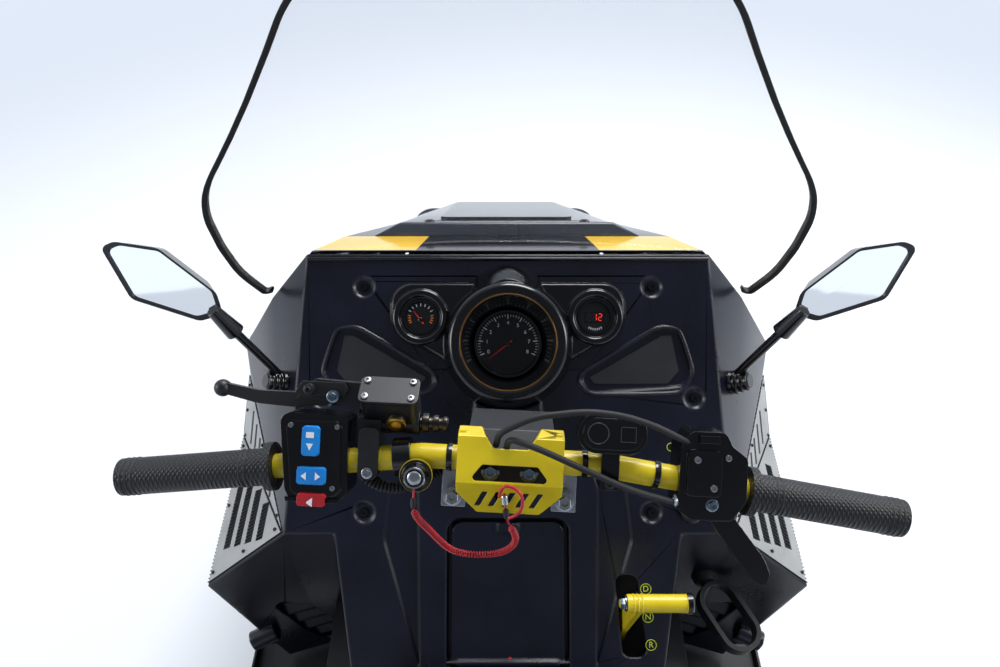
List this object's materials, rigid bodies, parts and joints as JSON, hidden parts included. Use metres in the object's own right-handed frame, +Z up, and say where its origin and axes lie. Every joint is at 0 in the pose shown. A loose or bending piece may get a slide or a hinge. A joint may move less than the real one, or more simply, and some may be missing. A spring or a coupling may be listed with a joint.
{
  "type": "snowmobile",
  "caption": "Utility snowmobile: wide rubber track under a tunnel, steered skis on struts, tilting hood with windshield, dash with round gauges, handlebar, bench seat and rack.",
  "frame": {"origin": "on the ground, midway between the bumpers and between the mirror tips", "axes": "+Y to the nose, +X to the rider's right, +Z up"},
  "size_m": [1.0066, 2.86, 1.4401],
  "materials": {
    "painted_aluminium": "black powder coat",
    "frame_paint": "black frame paint",
    "black_abs": "moulded black ABS",
    "grille_metal": "light grey sheet",
    "black_gloss": "gloss black",
    "dial": "dial faces",
    "clear_sheet": "clear polycarbonate",
    "rubber": "black rubber",
    "mirror_shell": "mirror shell",
    "yellow_paint": "yellow powder coat",
    "engine_metal": "plain engine block",
    "steel": "steel",
    "slide_plastic": "slide rails",
    "wheel_rubber": "rubber wheels",
    "track_rubber": "track rubber",
    "seat_vinyl": "black vinyl",
    "lamp_lens": "lamp lens",
    "red_lens": "red lens",
    "control_plastic": "control housings",
    "ski_plastic": "moulded skis",
    "red_cord": "red lanyard",
    "cable_black": "cable sheath"
  },
  "bodies": {
    "root": {"tunnel": "painted_aluminium", "footboards": "painted_aluminium", "front_frame": "frame_paint", "engine_block": "engine_metal", "front_bumper": "frame_paint", "belly_pan": "black_abs", "dash_console": "black_abs", "storage_bin": "black_abs", "side_grilles": "grille_metal", "instrument_pod": "black_gloss", "gauge_dials": "dial", "mirror_right": "mirror_shell", "mirror_left": "mirror_shell", "gear_lever": "yellow_paint", "starter_handle": "rubber", "track": "track_rubber", "slide_rails": "slide_plastic", "track_wheels": "wheel_rubber", "drive_axle": "steel", "suspension_arms": "steel", "seat_base": "black_abs", "seat_cushion": "seat_vinyl", "luggage_rack": "frame_paint", "backrest": "seat_vinyl", "rear_bumper": "frame_paint", "tow_hitch": "frame_paint", "snow_flap": "rubber", "tail_lamp": "red_lens"},
    "hood": {"hood": "black_abs", "headlamps": "lamp_lens", "windshield": "clear_sheet", "windshield_trim": "rubber"},
    "lid": {"storage_lid": "black_abs"},
    "steering": {"steering_column": "frame_paint", "handlebar": "yellow_paint", "grips": "rubber", "riser_cover": "yellow_paint", "switch_housing": "control_plastic", "brake_lever": "control_plastic", "throttle": "control_plastic", "accessory_pod": "control_plastic", "stop_switch": "control_plastic", "lanyard": "red_cord", "control_cables": "cable_black"},
    "spindle_left": {"strut_left": "steel"},
    "spindle_right": {"strut_right": "steel"},
    "ski_left": {"ski_left": "ski_plastic"},
    "ski_right": {"ski_right": "ski_plastic"},
    "tie_rod_left": {"tie_rod_left": "steel"},
    "tie_rod_right": {"tie_rod_right": "steel"}
  },
  "joints": [
    {"name": "hood_tilt", "type": "hinge", "parent": "root", "child": "hood", "pos_m": [0, 1.33, 0.425], "axis": [-1, 0, 0], "range_deg": [0, 60]},
    {"name": "lid_open", "type": "hinge", "parent": "root", "child": "lid", "pos_m": [0, 0.16118, 0.63332], "axis": [1, 0, 0], "range_deg": [0, 90]},
    {"name": "steer", "type": "hinge", "parent": "root", "child": "steering", "pos_m": [0, 0.543, 0.283], "axis": [0, -0.3746, 0.9272], "range_deg": [-27, 33]},
    {"name": "spindle_turn_left", "type": "hinge", "parent": "root", "child": "spindle_left", "pos_m": [-0.395, 1, 0.15], "axis": [0, -0.3746, 0.9272], "range_deg": [-27, 33]},
    {"name": "spindle_turn_right", "type": "hinge", "parent": "root", "child": "spindle_right", "pos_m": [0.395, 1, 0.15], "axis": [0, -0.3746, 0.9272], "range_deg": [-27, 33]},
    {"name": "ski_pitch_left", "type": "hinge", "parent": "spindle_left", "child": "ski_left", "pos_m": [-0.395, 1, 0.15], "axis": [0.9986, -0.0485, -0.0196], "range_deg": [-10, 10]},
    {"name": "ski_pitch_right", "type": "hinge", "parent": "spindle_right", "child": "ski_right", "pos_m": [0.395, 1, 0.15], "axis": [0.9986, -0.0485, -0.0196], "range_deg": [-10, 10]},
    {"name": "tie_rod_turn_left", "type": "hinge", "parent": "steering", "child": "tie_rod_left", "pos_m": [-0.03467, 0.46109, 0.24991], "axis": [0, -0.3746, 0.9272], "range_deg": [-33, 27]},
    {"name": "tie_rod_turn_right", "type": "hinge", "parent": "steering", "child": "tie_rod_right", "pos_m": [0.02525, 0.45818, 0.24873], "axis": [0, -0.3746, 0.9272], "range_deg": [-33, 27]}
  ],
  "couplings": [
    {"joint": "spindle_turn_left", "follows": "steer", "ratio": 1},
    {"joint": "spindle_turn_right", "follows": "steer", "ratio": 1},
    {"joint": "tie_rod_turn_left", "follows": "steer", "ratio": -1},
    {"joint": "tie_rod_turn_right", "follows": "steer", "ratio": -1}
  ]
}
